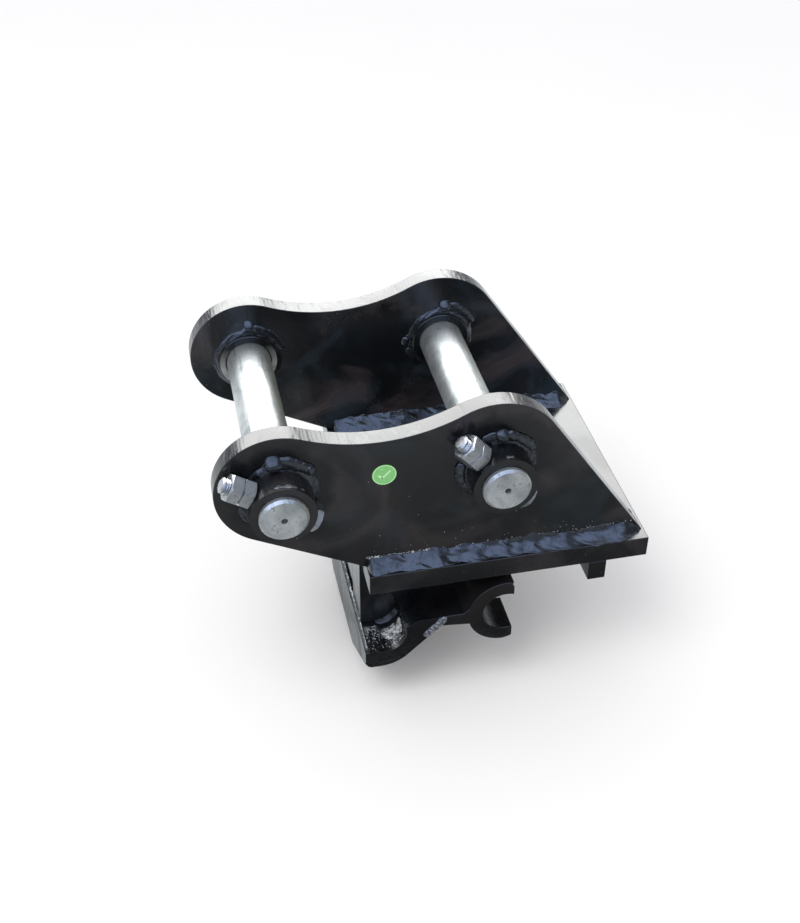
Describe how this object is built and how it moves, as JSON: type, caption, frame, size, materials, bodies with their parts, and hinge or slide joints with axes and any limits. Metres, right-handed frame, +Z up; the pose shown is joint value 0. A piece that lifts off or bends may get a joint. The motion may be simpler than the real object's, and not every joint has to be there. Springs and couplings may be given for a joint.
{
  "type": "quick coupler",
  "caption": "Pin-on mechanical quick coupler for a mini excavator: two ears with pins on a base plate, C-jaws and a nose below, and screw-driven lock bolts.",
  "frame": {"origin": "under the middle of the coupler's length and width, level with the lowest point of the nose", "axes": "+X to the front, where the jaws open; +Y to the far side, along the pins; +Z up, square to the base plate"},
  "size_m": [0.2775, 0.212, 0.2295],
  "materials": {
    "black_paint": "gloss",
    "weld_paint": "gloss",
    "pin_zinc": "satin",
    "bolt_zinc": "satin",
    "bright_steel": "ground",
    "green_sticker": "satin"
  },
  "bodies": {
    "frame": {"near_ear": "black_paint", "far_ear": "black_paint", "link_boss_near": "black_paint", "arm_boss_near": "black_paint", "link_boss_far": "black_paint", "arm_boss_far": "black_paint", "link_pin": "pin_zinc", "arm_pin": "pin_zinc", "link_pin_bolt": "bolt_zinc", "arm_pin_bolt": "bolt_zinc", "link_pin_nut": "bolt_zinc", "link_pin_lock_nut": "bolt_zinc", "arm_pin_nut": "bolt_zinc", "arm_pin_lock_nut": "bolt_zinc", "base_plate": "black_paint", "stop_bar": "black_paint", "near_cheek": "black_paint", "far_cheek": "black_paint", "nose": "black_paint", "near_jaw": "black_paint", "far_jaw": "black_paint", "guide_block": "black_paint", "bearing_block": "black_paint", "spindle_washer": "bright_steel", "ear_welds": "weld_paint", "boss_welds": "weld_paint", "cheek_welds": "weld_paint", "jaw_welds": "weld_paint", "check_sticker": "green_sticker"},
    "lock": {"crosshead": "bright_steel", "near_lock_bolt": "bright_steel", "far_lock_bolt": "bright_steel", "crosshead_pins": "bright_steel"},
    "spindle": {"spindle": "bright_steel", "spindle_collar": "bright_steel", "collar_pin": "bright_steel"}
  },
  "joints": [
    {"name": "spindle_turn", "type": "hinge", "parent": "frame", "child": "spindle", "pos_m": [-0.0502, 0, 0.084], "axis": [1, 0, 0], "range_deg": [0, 1800]},
    {"name": "lock_slide", "type": "slide", "parent": "frame", "child": "lock", "axis": [1, 0, 0], "range_m": [0, 0.015]}
  ],
  "couplings": [
    {"joint": "spindle_turn", "follows": "lock_slide", "rad_per_m": 2094.4}
  ]
}
